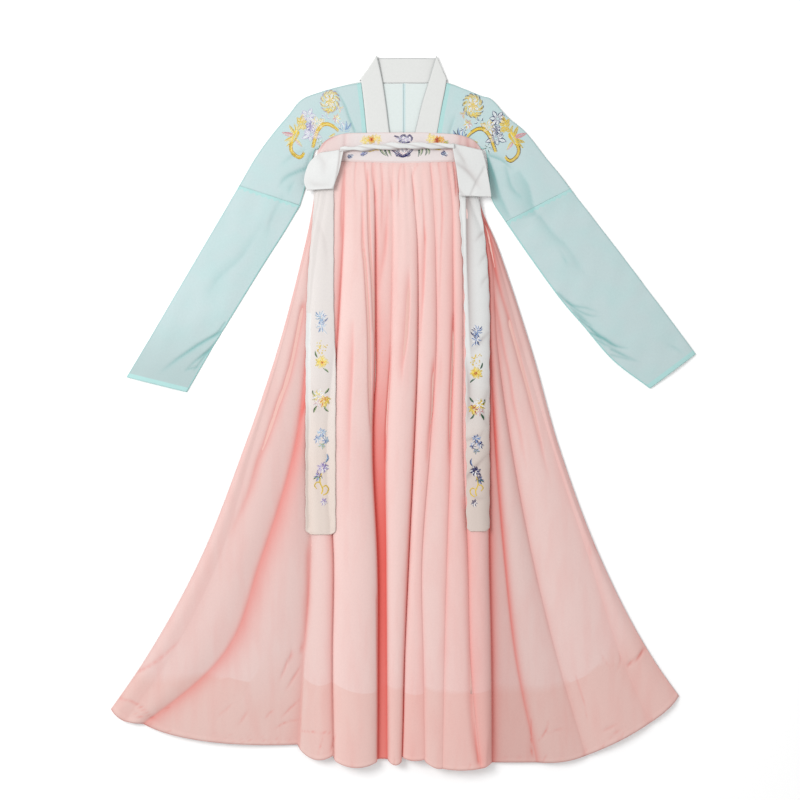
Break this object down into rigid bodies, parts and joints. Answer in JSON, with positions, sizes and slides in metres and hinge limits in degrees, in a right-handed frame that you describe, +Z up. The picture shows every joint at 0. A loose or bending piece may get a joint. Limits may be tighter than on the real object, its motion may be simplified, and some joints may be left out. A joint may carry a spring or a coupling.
{
  "type": "hanfu robe",
  "caption": "Chest-high hanfu set laid flat: sheer blouse with collar strip, gathered lined skirt with embroidered band, ribbon loops and streamers.",
  "frame": {"origin": "on the surface the garment lies on, under the middle of its outline", "axes": "+Y from hem to collar, +X to the wearer's left (the right seen from the front), +Z up from the surface, out of the garment's front"},
  "size_m": [1.1104, 1.3481, 0.036],
  "materials": {
    "mint_chiffon": "sheer polyester chiffon, pale mint",
    "white_collar": "matt white doubled strip",
    "pink_chiffon": "sheer polyester chiffon, salmon pink",
    "pink_lining": "plain woven lining, pale pink",
    "band_satin": "pale pink band with satin-stitch flowers",
    "white_ribbon": "off-white ribbon cloth"
  },
  "bodies": {
    "root": {"blouse_back_left": "mint_chiffon", "blouse_back_right": "mint_chiffon", "blouse_front_left": "mint_chiffon", "blouse_front_right": "mint_chiffon", "sleeve_left": "mint_chiffon", "sleeve_right": "mint_chiffon", "collar": "white_collar", "skirt_front": "pink_chiffon", "skirt_back": "pink_chiffon", "skirt_lining": "pink_lining", "skirt_band_front": "band_satin", "skirt_band_back": "pink_chiffon", "tie": "white_ribbon", "ribbon_loop_left": "white_ribbon", "ribbon_loop_right": "white_ribbon", "ribbon_streamer_left": "white_ribbon", "ribbon_streamer_right": "white_ribbon"}
  },
  "joints": []
}
